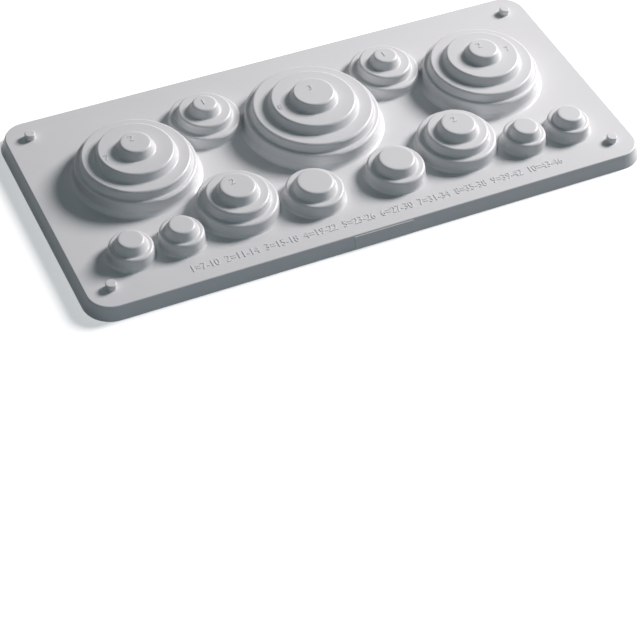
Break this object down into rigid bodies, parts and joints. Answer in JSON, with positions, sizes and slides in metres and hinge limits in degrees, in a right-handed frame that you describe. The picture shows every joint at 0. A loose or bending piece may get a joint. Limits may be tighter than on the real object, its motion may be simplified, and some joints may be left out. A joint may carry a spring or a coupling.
{
  "type": "cable entry plate",
  "caption": "Rectangular soft-plastic cable entry plate with hollow stepped domes, cut open at the step that suits each cable, and corner pegs that button it to an enclosure.",
  "frame": {"origin": "middle of the flat underside rim", "axes": "+X along the long side, +Y towards the side with the back pair of domes, +Z out of the domed face"},
  "size_m": [0.247, 0.117, 0.023],
  "materials": {
    "entry_plate": "light grey, satin, lightly textured moulding"
  },
  "bodies": {
    "root": {"entry_plate": "entry_plate"}
  },
  "joints": []
}
